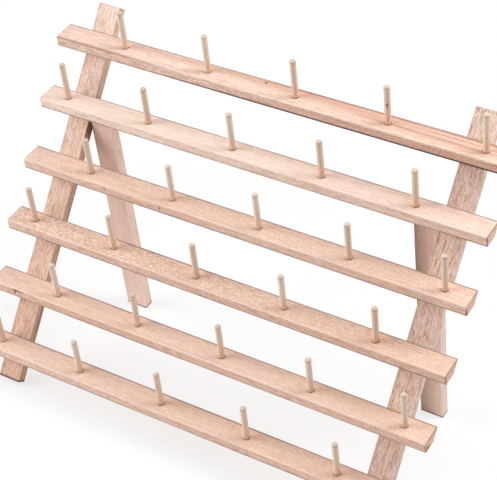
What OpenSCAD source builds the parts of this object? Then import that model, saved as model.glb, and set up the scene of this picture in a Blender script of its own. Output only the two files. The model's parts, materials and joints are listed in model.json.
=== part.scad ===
// Folding wooden rack that holds spools of thread on rows of pegs.
// Two front legs carry the rails, and two back legs swing out behind them as a stand.
// All sizes are in millimetres. +X runs along the rails to the right, +Y to the back, +Z up.
// The origin is on the floor, below the middle of the rack's box.

/* [Rails] */
// Number of rails, counted from the top
rail_count = 6; // [3:1:6]
// Length of a rail past the outermost pegs of the rack
rail_end = 22; // [6:1:80]
// Depth of a rail's top face, from front to back
rail_depth = 20; // [18:0.5:40]
// Thickness of a rail
rail_t = 9; // [8.5:0.5:16]
// Distance from one rail to the next along the legs
rail_pitch = 52; // [40:1:100]
// Angle between the pegs and the legs, to which the rails' back edges are sawn
rail_tilt = 41; // [32:1:44]

/* [Pegs] */
// Number of pegs in a rail
pegs_per_rail = 5; // [2:1:6]
// Distance from one peg to the next along a rail
peg_spacing = 79; // [30:1:120]
// Sideways step between one row of pegs and the next
row_shift = 40; // [0:1:75]
// Diameter of a peg
peg_d = 5; // [4:0.5:6]
// Height of a peg above its rail
peg_h = 34; // [15:1:80]
// Length of the peg's end that is glued in the rail
peg_tenon_l = 7; // [4:0.5:7.5]
// Step from the peg down to its glued end, all round
peg_shoulder = 0.25; // [0.1:0.05:0.6]
// Bevel on the tip of a peg
peg_tip = 0.8; // [0.2:0.1:1.5]

/* [Legs] */
// Width of a leg, along the rails
leg_w = 20; // [18:0.5:40]
// Thickness of a leg
leg_t = 9; // [8:0.5:16]
// Distance from the rails' ends in to the centre line of a front leg
leg_inset = 32; // [10:1:120]
// Length of a front leg above the top rail's back edge
leg_top = 23; // [2:1:80]
// Length of a front leg below the lowest rail's back edge
leg_foot = 37; // [20:1:80]
// Length of a back leg from its pivot to its foot
back_leg_l = 208; // [180:1:240]
// Length of a back leg above its pivot
back_leg_top = 10; // [8:0.5:11]
// Angle between the front and the back legs when the stand is open
opening = 42; // [36:1:50]
// Distance from the second rail's lower back edge down to the pivot
pivot_drop = 5; // [4:0.5:12]
// Sideways gap between a front leg and its back leg
leg_gap = 1; // [0.8:0.1:3]

/* [Screws] */
// Diameter of a pivot screw
pivot_d = 4; // [3:0.5:5]
// Length of a pivot screw inside its back leg
pivot_bite = 17; // [8:1:19]
// Diameter of a pivot screw's round head
pivot_head_d = 8; // [6:0.5:9]
// Height of a pivot screw's round head
pivot_head_h = 2.6; // [1.5:0.1:3]
// Diameter of the washer between the legs
washer_d = 8.6; // [7:0.1:9]
// Diameter of a rail screw
rail_screw_d = 3; // [2:0.5:3.5]
// Diameter of a rail screw's sunk head
rail_head_d = 6; // [5:0.5:7]
// Length of a rail screw inside its rail
rail_bite = 7; // [4:0.5:8]
// Height of a rail screw above the rail's underside
rail_screw_up = 3; // [2.5:0.1:3.5]
// Sideways step of a rail screw from the leg's centre line, away from the nearest peg
rail_screw_step = 5; // [5:0.5:6]

/* [Fits] */
// Play round a peg's glued end, and below it
peg_fit = 0.05; // [0.02:0.01:0.07]
// Play round a screw in wood, and beyond its point
screw_fit = 0.05; // [0.02:0.01:0.1]
// Play of a pivot's head and washer along the pivot
pivot_play = 0.1; // [0.05:0.01:0.3]
// Gap between an open back leg and the second rail, which stops it
stop_gap = 0.2; // [0.1:0.05:0.5]

/* [Hidden] */
$fn = 64;
LEFT = -1;
RIGHT = 1;

// Colours of the rails and legs, the pegs, and the screws
BEECH = [0.90, 0.76, 0.66];
BIRCH = [0.90, 0.77, 0.62];
STEEL = [0.72, 0.72, 0.70];

// Names of all pieces
PAIRED = ["front_leg", "back_leg", "pivot_screw", "pivot_washer"];

// The leg frame has its origin at the floor edge of the front legs, +Z up along them and +Y behind them
rail_back_l = rail_t / cos(rail_tilt);
front_leg_l = leg_top + (rail_count - 1) * rail_pitch + leg_foot;
function rail_z(r) = front_leg_l - leg_top - (r - 1) * rail_pitch;
pivot_z = rail_z(2) - rail_back_l - pivot_drop;

// A point [y, z] of a back leg's section, measured from the pivot, as it lies in the leg frame
function back_leg_point(y, z) = [
    -leg_t / 2 + y * cos(opening) - z * sin(opening),
    pivot_z + y * sin(opening) + z * cos(opening)
];
foot_front = back_leg_point(-leg_t / 2, -back_leg_l);
foot_back = back_leg_point(leg_t / 2, -back_leg_l);

// Lean of the front legs from upright, with all four feet on the floor
lean = atan2(foot_front[1], foot_front[0]);

// How far back a point [y, z] of the leg frame lies once the rack stands on its feet
function standing_y(p) = p[0] * cos(lean) + p[1] * sin(lean);
last_rail_z = rail_z(rail_count);
rail_front = [-leg_t - rail_depth * cos(rail_tilt), last_rail_z - rail_depth * sin(rail_tilt)];
peg_foot = [-leg_t - rail_depth / 2 * cos(rail_tilt), last_rail_z - rail_depth / 2 * sin(rail_tilt)];
peg_lean = rail_tilt - lean;
peg_front_y = standing_y(peg_foot) - (peg_h - peg_tip) * sin(peg_lean) - peg_d / 2 * cos(peg_lean);
front_y = min(standing_y(rail_front), peg_front_y, standing_y([-leg_t, 0]));
back_y = max(standing_y(foot_back), standing_y([0, front_leg_l]));
rack_y = -(front_y + back_y) / 2;

// Places along X, from the pegs outwards
rail_l = (pegs_per_rail - 1) * peg_spacing + row_shift + 2 * rail_end;
function row_side(r) = r % 2 == 1 ? RIGHT : LEFT;
function peg_x(r, c) = (c - (pegs_per_rail + 1) / 2) * peg_spacing + row_side(r) * row_shift / 2;
function leg_x(side) = side * (rail_l / 2 - leg_inset);
function back_leg_x(side) = leg_x(side) - side * (leg_w + leg_gap);

// A rail screw stands on the side of the leg's centre line that is away from the nearest peg
function peg_offsets(r, side) = [for (c = [1:pegs_per_rail]) peg_x(r, c) - leg_x(side)];
function nearest(offsets) = [for (o = offsets) if (abs(o) == min([for (p = offsets) abs(p)])) o][0];
function rail_screw_x(r, side) =
    leg_x(side) + (nearest(peg_offsets(r, side)) > 0 ? -1 : 1) * rail_screw_step;
function rail_screw_z(r) = rail_z(r) - (rail_t - rail_screw_up) / cos(rail_tilt);

// Radii and lengths that pieces and their holes share, and how far a cut runs past the face it opens
tenon_r = peg_d / 2 - peg_shoulder;
pivot_r = pivot_d / 2;
rail_screw_r = rail_screw_d / 2;
rail_head_r = rail_head_d / 2;
rail_head_h = rail_head_r - rail_screw_r;
cut = 1;

module in_leg_frame() {
    translate([0, rack_y, 0]) rotate([-lean, 0, 0]) children();
}

// The rail's frame has its origin at the rail's top back edge, +Z along the pegs
module on_rail(r) {
    in_leg_frame() translate([0, -leg_t, rail_z(r)]) rotate([rail_tilt, 0, 0]) children();
}

// The pivot's frame has +Z up along the open back leg
module on_pivot() {
    in_leg_frame() translate([0, -leg_t / 2, pivot_z]) rotate([opening, 0, 0]) children();
}

// An outline in Y and Z, made into a bar along X about the middle of the rack
module bar_along_x(length) {
    rotate([90, 0, 90]) linear_extrude(length, center = true) children();
}

// Lays a piece that was drawn along +Z along X instead, pointing outwards on its own side
module outwards(side) {
    rotate([0, side * 90, 0]) children();
}

// Lays a piece that was drawn along +Z against the back of a leg, pointing forwards into the rail
module from_behind(r, side) {
    translate([rail_screw_x(r, side), 0, rail_screw_z(r)]) rotate([90, 0, 0]) children();
}

module rail_screw(play) {
    cylinder(h = leg_t + rail_bite + play, r = rail_screw_r + play);
    cylinder(h = rail_head_h, r1 = rail_head_r + play, r2 = rail_screw_r + play);
}

module rail_screws() {
    color(STEEL) in_leg_frame()
        for (r = [1:rail_count], side = [LEFT, RIGHT]) from_behind(r, side) rail_screw(0);
}

module front_leg(side) {
    color(BEECH) in_leg_frame() difference() {
        translate([leg_x(side) - leg_w / 2, -leg_t, 0]) cube([leg_w, leg_t, front_leg_l]);
        translate([leg_x(side), -leg_t / 2, pivot_z]) rotate([0, 90, 0])
            cylinder(h = leg_w + 2 * cut, r = pivot_r + screw_fit, center = true);
        for (r = [1:rail_count]) from_behind(r, side) rail_screw(screw_fit);
    }
}

// The top is sawn off along the back of the second rail, which the open leg leans against
module back_leg_outline() {
    half_t = leg_t / 2;
    reach = half_t - stop_gap;
    polygon([
        [-half_t, -back_leg_l],
        [half_t, -back_leg_l],
        [half_t, back_leg_top],
        [(back_leg_top * sin(opening) - reach) / cos(opening), back_leg_top],
        [-half_t, (reach - half_t * cos(opening)) / sin(opening)]
    ]);
}

module back_leg(side) {
    color(BEECH) on_pivot() translate([back_leg_x(side), 0, 0]) difference() {
        bar_along_x(leg_w) back_leg_outline();
        translate([side * (leg_w / 2 + cut), 0, 0]) outwards(-side)
            cylinder(h = pivot_bite + screw_fit + cut, r = pivot_r + screw_fit);
    }
}

module pivot_screw(side) {
    head_r = pivot_head_d / 2;
    dome_r = (head_r * head_r + pivot_head_h * pivot_head_h) / (2 * pivot_head_h);
    shank_l = pivot_bite + leg_gap + leg_w + pivot_play;
    color(STEEL) on_pivot() translate([leg_x(side) + side * (leg_w / 2 + pivot_play), 0, 0]) outwards(side) {
        translate([0, 0, -shank_l]) cylinder(h = shank_l, r = pivot_r);
        intersection() {
            cylinder(h = pivot_head_h, r = head_r);
            translate([0, 0, pivot_head_h - dome_r]) sphere(dome_r);
        }
    }
}

module pivot_washer(side) {
    washer_t = leg_gap - pivot_play;
    color(STEEL) on_pivot() translate([back_leg_x(side) + side * leg_w / 2, 0, 0]) outwards(side)
        difference() {
            cylinder(h = washer_t, r = washer_d / 2);
            translate([0, 0, -cut]) cylinder(h = washer_t + 2 * cut, r = pivot_r + screw_fit);
        }
}

module rail(r) {
    back_step = rail_t * tan(rail_tilt);
    color(BEECH) difference() {
        on_rail(r) bar_along_x(rail_l)
            polygon([[0, 0], [-rail_depth, 0], [-rail_depth, -rail_t], [-back_step, -rail_t]]);
        on_rail(r) for (c = [1:pegs_per_rail])
            translate([peg_x(r, c), -rail_depth / 2, -peg_tenon_l - peg_fit])
                cylinder(h = peg_tenon_l + peg_fit + cut, r = tenon_r + peg_fit);
        in_leg_frame() for (side = [LEFT, RIGHT]) from_behind(r, side) rail_screw(screw_fit);
    }
}

module peg(r, c) {
    peg_r = peg_d / 2;
    color(BIRCH) on_rail(r) translate([peg_x(r, c), -rail_depth / 2, 0]) {
        translate([0, 0, -peg_tenon_l]) cylinder(h = peg_tenon_l, r = tenon_r);
        cylinder(h = peg_h - peg_tip, r = peg_r);
        translate([0, 0, peg_h - peg_tip]) cylinder(h = peg_tip, r1 = peg_r, r2 = peg_r - peg_tip);
    }
}

front_leg(LEFT);  // front_leg_left
front_leg(RIGHT);  // front_leg_right
back_leg(LEFT);  // back_leg_left
back_leg(RIGHT);  // back_leg_right
pivot_screw(LEFT);  // pivot_screw_left
pivot_screw(RIGHT);  // pivot_screw_right
pivot_washer(LEFT);  // pivot_washer_left
pivot_washer(RIGHT);  // pivot_washer_right
rail_screws();
for (r = [1:rail_count])
    rail(r);
for (r = [1:rail_count], c = [1:pegs_per_rail])
    peg(r, c);
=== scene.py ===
"""Looks of a folding beech rack for spools of thread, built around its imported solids.

The boards get eased arrises, drilled sockets and a figure of rings, fibres and flecks that runs along each
board. The pegs are turned dowels, and the screws have cut threads and cross recesses. Sizes and places are
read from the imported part, in metres.
"""

import json
import math
from typing import NamedTuple

import bmesh
import bpy
import numpy as np
from mathutils import Matrix, Vector


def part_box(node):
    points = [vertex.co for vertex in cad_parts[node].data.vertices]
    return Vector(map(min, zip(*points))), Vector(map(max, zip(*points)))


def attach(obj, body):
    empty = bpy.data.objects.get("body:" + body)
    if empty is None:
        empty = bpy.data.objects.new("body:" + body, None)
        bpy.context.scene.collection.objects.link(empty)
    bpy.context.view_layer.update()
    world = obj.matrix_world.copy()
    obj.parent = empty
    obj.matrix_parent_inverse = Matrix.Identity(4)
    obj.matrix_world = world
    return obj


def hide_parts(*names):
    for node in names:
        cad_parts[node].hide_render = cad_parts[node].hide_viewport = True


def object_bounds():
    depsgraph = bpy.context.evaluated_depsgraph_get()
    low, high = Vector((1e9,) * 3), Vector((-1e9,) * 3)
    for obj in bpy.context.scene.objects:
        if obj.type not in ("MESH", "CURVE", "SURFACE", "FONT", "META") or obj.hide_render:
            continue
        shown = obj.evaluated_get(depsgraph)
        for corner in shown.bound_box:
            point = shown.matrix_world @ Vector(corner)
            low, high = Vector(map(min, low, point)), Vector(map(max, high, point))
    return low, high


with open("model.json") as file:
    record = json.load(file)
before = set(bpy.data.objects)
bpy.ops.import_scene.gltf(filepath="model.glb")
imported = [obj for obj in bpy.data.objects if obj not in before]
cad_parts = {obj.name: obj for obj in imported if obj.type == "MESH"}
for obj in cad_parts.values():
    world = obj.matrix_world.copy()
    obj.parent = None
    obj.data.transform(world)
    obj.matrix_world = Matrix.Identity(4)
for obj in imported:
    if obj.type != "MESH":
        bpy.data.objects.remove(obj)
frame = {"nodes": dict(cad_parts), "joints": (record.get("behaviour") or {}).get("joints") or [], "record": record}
cad_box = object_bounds()

MM = 0.001
X_AXIS = Vector((1, 0, 0))
SIDES = {"left": -1, "right": 1}

# Sizes of the finish, which the solids leave out, and how fine and clean its meshes are
ARRIS = 0.6 * MM
ARRIS_STEPS = 4
PEG_TIP_ROUND = 1.4 * MM
SOCKET_PLAY = 0.08 * MM
SOCKET_RIM = 0.4 * MM
SEAT_PLAY = 0.12 * MM
THREAD_DEPTH = 0.35 * MM
RAIL_SCREW_PITCH = 1.2 * MM
PIVOT_SCREW_PITCH = 1.6 * MM
RAIL_RECESS = {"Recess_Reach": 3.4 * MM, "Recess_Width": 0.9 * MM, "Recess_Depth": 1.2 * MM}
PIVOT_RECESS = {"Recess_Reach": 4.2 * MM, "Recess_Width": 1.1 * MM, "Recess_Depth": 1.5 * MM}
EASED = 0.15 * MM
CUT = 1.0 * MM
FLAT_AREA = 1e-6 * MM**2
MEND_PASSES = 3
LEG_GAP_REACH = 1.0 * MM
TURNED_SIDES = 32
ROUND_STEPS = 6
THREAD_STEPS = 8
SHARP_ANGLE = math.radians(35)
SAWN_FLAT_ANGLE = math.radians(1)
SEED = 7

# Shares of a screw: its plain neck in its length, its taper and its head in shank radii, its blunt point
SCREW_NECK = 0.3
SCREW_TAPER = 2.5
SCREW_HEAD = 1.05
SCREW_POINT = 0.15

# The photograph's view: a point on its axis, and where the camera stands from there
VIEW_POINT = Vector((0.0070, 0.0072, 0.1531))
VIEW_AZIMUTH = math.radians(30.567)
VIEW_ELEVATION = math.radians(30.745)
VIEW_ROLL = math.radians(1.822)
VIEW_DISTANCE = 1.2626
VIEW_LENS_MM = 117.32
SENSOR_MM = 36.0


class Figure(NamedTuple):
    """How a board's wood looks: how warm its tone is, how much it shows of ray flecks on its broad and its
    narrow sides, of grain lines and of red heartwood with painted shade along its lower front arris, how brown
    its narrow sides are (partly its own tone, partly painted shade), how much warmer it is at its far end, how
    grey its broad sides are as painted shade, and how far its flecks fade towards its far end."""

    tone: float
    flecks: float
    edge_flecks: float
    lines: float
    heart: float = 0.0
    side: float = 0.2
    slope: float = 0.0
    grey: float = 0.0
    fade: float = 0.0


# Side and grey partly set painted shade: on the left front leg's inner side and the left back leg's broad sides
BOARD_FIGURES = {
    "rail_1": Figure(tone=0.33, flecks=0.40, edge_flecks=1.0, lines=0.45, heart=1.0, slope=0.08),
    "rail_2": Figure(tone=0.05, flecks=0.25, edge_flecks=0.5, lines=0.25, side=0.1, slope=0.25),
    "rail_3": Figure(tone=0.50, flecks=0.60, edge_flecks=0.6, lines=0.30, slope=0.05),
    "rail_4": Figure(tone=0.50, flecks=1.35, edge_flecks=0.9, lines=0.40, slope=0.12, fade=0.7),
    "rail_5": Figure(tone=0.55, flecks=0.35, edge_flecks=0.7, lines=0.25, side=0.35, slope=0.12),
    "rail_6": Figure(tone=0.60, flecks=0.40, edge_flecks=0.9, lines=0.25, slope=0.12),
    "front_leg_left": Figure(tone=0.60, flecks=0.50, edge_flecks=0.3, lines=0.90, side=1.1, slope=-0.60),
    "front_leg_right": Figure(tone=0.25, flecks=0.65, edge_flecks=0.2, lines=1.05, side=0.0, slope=-0.10),
    "back_leg_left": Figure(tone=0.40, flecks=0.15, edge_flecks=0.2, lines=0.20, side=0.0, grey=0.4),
    "back_leg_right": Figure(tone=0.25, flecks=0.15, edge_flecks=0.2, lines=0.30, side=0.0, slope=0.10),
}

# Dark knots and tears: the board, the place in it from its middle, and the reach along it, across it and
# through it, in millimetres
DARK_FLAWS = (
    ("rail_1", (-9.0, 6.0, 4.5), (2.2, 0.7, 2.0)),
    ("rail_3", (-119.0, -10.0, 1.4), (1.1, 1.1, 1.0)),
    ("rail_3", (-66.0, -10.0, 0.7), (0.7, 1.5, 2.6)),
    ("rail_3", (199.5, -9.5, -2.0), (1.0, 1.0, 2.4)),
    ("rail_5", (-176.0, -10.0, 0.8), (1.3, 1.5, 2.4)),
    ("rail_5", (-172.2, -10.0, 2.8), (5.2, 1.5, 0.8)),
    ("rail_5", (200.0, -6.3, -2.2), (3.0, 3.0, 2.8)),
)
PEG_KNOT_AT = (1, 4)
PEG_KNOT_HEIGHT = 18 * MM
PEG_KNOT_FACING = Vector((0.4, -0.9, 0.0))


# Sizes and places of the part, read from the frame

mounts = {mount["name"]: mount for mount in frame["record"]["mounts"]}
RAILS = [name for name in BOARD_FIGURES if name.startswith("rail_")]
PEGS = [name for name in mounts if name.startswith("peg_")]


def node_points(name):
    """The vertices of a CAD node, one row each."""
    mesh = frame["nodes"][name].data
    flat = np.zeros(len(mesh.vertices) * 3)
    mesh.vertices.foreach_get("co", flat)
    return flat.reshape(-1, 3)


def about_axis(points, foot, axis):
    """How far points lie along an axis through a foot, and how far away from it."""
    offsets = points - np.array(foot)
    along = offsets @ np.array(axis)
    return along, np.linalg.norm(offsets - np.outer(along, np.array(axis)), axis=1)


def broad_face(name):
    """The direction in which a CAD board's broadest side faces, upwards or to the back."""
    areas = {}
    for face in frame["nodes"][name].data.polygons:
        side = face.normal if face.normal.y + face.normal.z > 0 else -face.normal
        key = tuple(round(value, ndigits=3) for value in side)
        areas[key] = areas.get(key, 0) + face.area
    return Vector(max(areas, key=areas.get)).normalized()


class Board:
    """A board's own frame: along its fibres, across its broad side, and through its thickness."""

    def __init__(self, node, number):
        face = broad_face(node)
        along = X_AXIS if node.startswith("rail") else X_AXIS.cross(face)
        self.axes = np.array([along, face.cross(along), face])
        local = node_points(node) @ self.axes.T
        self.middle = (local.min(0) + local.max(0)) / 2
        self.half = (local.max(0) - local.min(0)) / 2
        self.number = number
        self.figure = BOARD_FIGURES[node]

    def local(self, points):
        """Points as they lie in the board, from its middle."""
        return points @ self.axes.T - self.middle

    def corner(self, along, across, through):
        """A point in the frame, given in half sizes of the board from its middle."""
        return Vector((self.middle + self.half * (along, across, through)) @ self.axes)


boards = {node: Board(node, number) for number, node in enumerate(BOARD_FIGURES)}
leg_gap_x = (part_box("front_leg_left")[1].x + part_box("back_leg_left")[0].x) / 2


def peg_foot(row, column):
    """The point where a peg leaves its rail."""
    mount = mounts[f"peg_{row}_{column}"]
    return Vector(mount["pos_m"]) - Vector(mount["axis"]) * (mount["dims"]["length_mm"] * MM / 2)


peg_up = Vector(mounts["peg_1_1"]["axis"])
peg_r = mounts["peg_1_1"]["dims"]["r_mm"] * MM
peg_reach = about_axis(node_points("peg_1_1"), peg_foot(1, 1), peg_up)[0]
peg_h = float(peg_reach.max())
peg_tenon = float(-peg_reach.min())
leg_back = Vector(mounts["wall_face_left"]["axis"])
leg_up = X_AXIS.cross(leg_back)
peg_knot = peg_foot(*PEG_KNOT_AT) + peg_up * PEG_KNOT_HEIGHT + PEG_KNOT_FACING * peg_r

row_count = len(RAILS)
pegs_per_row = len(PEGS) // row_count
peg_step = peg_foot(1, 2).x - peg_foot(1, 1).x
row_step = peg_foot(2, 1) - peg_foot(1, 1)
row_shift = row_step.x
row_step.x = 0
row_pitch = row_step.length

rail_length, rail_depth, rail_thickness = (float(2 * half) for half in boards["rail_1"].half)
rail_slant = rail_thickness * math.tan(peg_up.angle(leg_up))
rail_first = boards["rail_1"].corner(0, 1, 1)
pivots = {side: Vector(joint["pos_m"]) for side, joint in zip(SIDES, frame["joints"])}


class Screw:
    """Sizes of a CAD screw that stands on an axis through a point, with its head facing outwards."""

    def __init__(self, points, foot, facing):
        along, across = about_axis(points, foot, facing)
        self.facing = facing
        self.top = Vector(foot) + facing * float(along.max())
        self.length = float(along.max() - along.min())
        self.shank_r = float(across[along < along.max() - self.length / 2].max())
        self.head_r = float(across.max())
        self.head_h = float(along.max() - along[across > SCREW_HEAD * self.shank_r].min())


def rail_screw_points(row, side):
    """The vertices of one of the rail screws, which share a CAD node."""
    points = node_points("rail_screws")
    below = (float(rail_first.dot(leg_up)) - points @ np.array(leg_up)) / row_pitch
    return points[(np.floor(below) == row) & (np.sign(points[:, 0]) == SIDES[side])]


def rail_screw_foot(row, side):
    """A point on the axis of a rail screw."""
    points = rail_screw_points(row, side)
    local = points @ np.array([X_AXIS, leg_back, leg_up]).T
    x, back, up = (local.min(0) + local.max(0)) / 2
    return X_AXIS * x + leg_back * back + leg_up * up


rail_screw = Screw(rail_screw_points(0, "left"), rail_screw_foot(0, "left"), leg_back)
rail_screw_step = rail_screw_foot(0, "right").x - rail_screw_foot(0, "left").x
rail_screw_shift = rail_screw_foot(1, "left").x - rail_screw_foot(0, "left").x
pivot_screws = {
    side: Screw(node_points(f"pivot_screw_{side}"), pivots[side], X_AXIS * sign)
    for side, sign in SIDES.items()
}


# Node trees

NOISE_ROUGHNESS = 0.55


class Span(NamedTuple):
    """The limits of a value between which a smooth step goes from its bottom to its top."""

    low: float
    high: float
    bottom: float = 0.0
    top: float = 1.0


def lengths(low, high, bottom=0.0, top=1.0):
    """A span between two lengths in millimetres."""
    return Span(low * MM, high * MM, bottom, top)


def by_identifier(sockets):
    """Sockets by identifier, for nodes that have several of one name."""
    return {socket.identifier: socket for socket in sockets}


class Graph:
    """Makes nodes in a tree. Each input is a value, or another node's socket."""

    def __init__(self, tree):
        self.tree = tree

    def set(self, socket, value):
        if isinstance(value, bpy.types.NodeSocket):
            self.tree.links.new(value, socket)
        else:
            socket.default_value = value

    def node(self, kind, settings=None, **inputs):
        node = self.tree.nodes.new(kind)
        for name, value in (settings or {}).items():
            setattr(node, name, value)
        for name, value in inputs.items():
            self.set(node.inputs[name.replace("_", " ")], value)
        return node

    def made(self, kind, settings=None, **inputs):
        """The first output of a new node."""
        return self.node(kind, settings, **inputs).outputs[0]

    def fed(self, kind, settings, *values):
        """The outputs of a new node whose inputs are given in their order."""
        node = self.node(kind, settings)
        for socket, value in zip(node.inputs, values):
            self.set(socket, value)
        return node.outputs

    def math(self, operation, *values):
        return self.fed("ShaderNodeMath", {"operation": operation}, *values)[0]

    def vector(self, operation, *values):
        outputs = self.fed("ShaderNodeVectorMath", {"operation": operation}, *values)
        return outputs["Value" if operation == "LENGTH" else "Vector"]

    def scaled(self, vector, factor):
        node = self.node("ShaderNodeVectorMath", {"operation": "SCALE"}, Vector=vector, Scale=factor)
        return node.outputs["Vector"]

    def product(self, first, *others):
        for other in others:
            first = self.math("MULTIPLY", first, other)
        return first

    def combine(self, x=0.0, y=0.0, z=0.0):
        return self.made("ShaderNodeCombineXYZ", X=x, Y=y, Z=z)

    def separate(self, vector):
        return self.node("ShaderNodeSeparateXYZ", Vector=vector).outputs

    def attribute(self, name, output):
        return self.node("ShaderNodeAttribute", {"attribute_name": name}).outputs[output]

    def position(self):
        return self.made("GeometryNodeInputPosition")

    def object_place(self):
        return self.node("ShaderNodeTexCoord").outputs["Object"]

    def rise(self, value, span):
        """A smooth step as the value goes through a span."""
        node = self.node("ShaderNodeMapRange", {"interpolation_type": "SMOOTHSTEP"}, Value=value)
        for name, limit in zip(("From Min", "From Max", "To Min", "To Max"), span):
            self.set(node.inputs[name], limit)
        return node.outputs["Result"]

    def fall(self, value, span):
        """A smooth step down from one to zero."""
        return self.rise(value, Span(span.low, span.high, 1.0, 0.0))

    def noise(self, place, detail):
        shape = {"Scale": 1.0, "Detail": detail, "Roughness": NOISE_ROUGHNESS}
        return self.made("ShaderNodeTexNoise", Vector=place, **shape)

    def mix(self, share, first, second):
        node = self.node("ShaderNodeMix", {"data_type": "RGBA"})
        sockets = by_identifier(node.inputs)
        self.set(sockets["Factor_Float"], share)
        self.set(sockets["A_Color"], first)
        self.set(sockets["B_Color"], second)
        return by_identifier(node.outputs)["Result_Color"]


INT = "NodeSocketInt"
FLOAT = "NodeSocketFloat"
VECTOR = "NodeSocketVector"
GEOMETRY = "NodeSocketGeometry"
PLACES = {
    "Rows": INT,
    "Per Row": INT,
    "First": VECTOR,
    "Spacing": FLOAT,
    "Row Shift": FLOAT,
    "Row Step": VECTOR,
}


def geometry_tree(name, sizes):
    """A Geometry Nodes tree with those named inputs, as its graph and its inputs' sockets."""
    tree = bpy.data.node_groups.new(name, "GeometryNodeTree")
    tree.interface.new_socket("Geometry", in_out="INPUT", socket_type=GEOMETRY)
    for label, kind in sizes.items():
        tree.interface.new_socket(label, in_out="INPUT", socket_type=kind)
    tree.interface.new_socket("Geometry", in_out="OUTPUT", socket_type=GEOMETRY)
    graph = Graph(tree)
    return graph, graph.node("NodeGroupInput").outputs


def row_tree(name, *sizes):
    """A tree for things in rows, with those named lengths and the direction that the things face."""
    return geometry_tree(name, {**PLACES, **dict.fromkeys(sizes, FLOAT), "Facing": VECTOR})


def close_tree(graph, geometry, material):
    """Ends a tree: its instances become mesh, with the piece's material."""
    real = graph.made("GeometryNodeRealizeInstances", Geometry=geometry)
    painted = graph.made("GeometryNodeSetMaterial", Geometry=real, Material=material)
    graph.node("NodeGroupOutput", Geometry=painted)
    return graph.tree


def rows_of_places():
    """Points in rows: each second row is shifted sideways."""
    graph, size = geometry_tree("rows_of_places", PLACES)
    index = graph.made("GeometryNodeInputIndex")
    row = graph.math("FLOOR", graph.math("DIVIDE", graph.math("ADD", index, 0.5), size["Per Row"]))
    column = graph.math("SUBTRACT", index, graph.product(row, size["Per Row"]))
    along = graph.product(column, size["Spacing"])
    shift = graph.product(graph.math("MODULO", row, 2.0), size["Row Shift"])
    sideways = graph.combine(x=graph.math("ADD", along, shift))
    start = graph.vector("ADD", size["First"], sideways)
    place = graph.vector("ADD", start, graph.scaled(size["Row Step"], row))
    count = graph.product(size["Rows"], size["Per Row"])
    points = graph.made("GeometryNodePoints", Count=count, Position=place)
    graph.node("NodeGroupOutput", Geometry=points)
    return graph.tree


ROWS_OF_PLACES = rows_of_places()


def facing_turn(graph, facing, roll=0.0):
    """The turn that points Z along a direction, after a roll about Z."""
    aligned = graph.made("FunctionNodeAlignRotationToVector", {"axis": "Z"}, Vector=facing)
    rolled = graph.made("FunctionNodeAxisAngleToRotation", Axis=(0.0, 0.0, 1.0), Angle=roll)
    local = {"rotation_space": "LOCAL"}
    return graph.made("FunctionNodeRotateRotation", local, Rotation=aligned, Rotate_By=rolled)


def random_roll(graph):
    """A turn about the piece's own axis that differs from piece to piece."""
    node = graph.node("FunctionNodeRandomValue", {"data_type": "FLOAT"}, Seed=SEED)
    sockets = by_identifier(node.inputs)
    graph.set(sockets["Min_001"], 0.0)
    graph.set(sockets["Max_001"], 2 * math.pi)
    return by_identifier(node.outputs)["Value_001"]


def set_in_rows(graph, size, shape, roll=0.0):
    """Copies of a shape at the places that a tree's inputs describe, turned the way they face."""
    inputs = {name.replace(" ", "_"): size[name] for name in PLACES}
    points = graph.made("GeometryNodeGroup", {"node_tree": ROWS_OF_PLACES}, **inputs)
    turn = facing_turn(graph, size["Facing"], roll)
    return graph.made("GeometryNodeInstanceOnPoints", Points=points, Instance=shape, Rotation=turn)


def rod(graph, radius, **sizes):
    node = graph.node("GeometryNodeMeshCylinder", Vertices=TURNED_SIDES, Radius=radius, **sizes)
    return node.outputs["Mesh"]


def cut_away(graph, geometry, *cutters):
    """What is left of a mesh after the cutters."""
    way = {"operation": "DIFFERENCE", "solver": "MANIFOLD"}
    node = graph.node("GeometryNodeMeshBoolean", way, Mesh_1=geometry)
    for cutter in cutters:
        real = graph.made("GeometryNodeRealizeInstances", Geometry=cutter)
        graph.set(node.inputs["Mesh 2"], real)
    return node.outputs["Mesh"]


def flared_drill(graph, radius, sink, depth):
    """A cutter for a hole down from the origin, which widens at its mouth at 45 degrees."""
    place = graph.position()
    level = graph.math("SIGN", graph.separate(place)["Z"])
    mouth = graph.math("MAXIMUM", level, 0.0)
    foot = graph.math("MINIMUM", level, 0.0)
    flare = graph.math("ADD", sink, CUT)
    wider = graph.math("MULTIPLY_ADD", mouth, graph.math("DIVIDE", flare, radius), 1.0)
    below = graph.product(foot, graph.math("SUBTRACT", depth, sink))
    height = graph.math("SUBTRACT", graph.math("MULTIPLY_ADD", mouth, flare, below), sink)
    spot = graph.separate(graph.scaled(place, wider))
    shaped = graph.combine(spot["X"], spot["Y"], height)
    bar = rod(graph, radius, Side_Segments=2)
    return graph.made("GeometryNodeSetPosition", Geometry=bar, Position=shaped)


def drilled(graph, size, radius, sink):
    """A tree's geometry with flared holes at its places."""
    drill = flared_drill(graph, radius, sink, size["Depth"])
    return cut_away(graph, size["Geometry"], set_in_rows(graph, size, drill))


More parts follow.
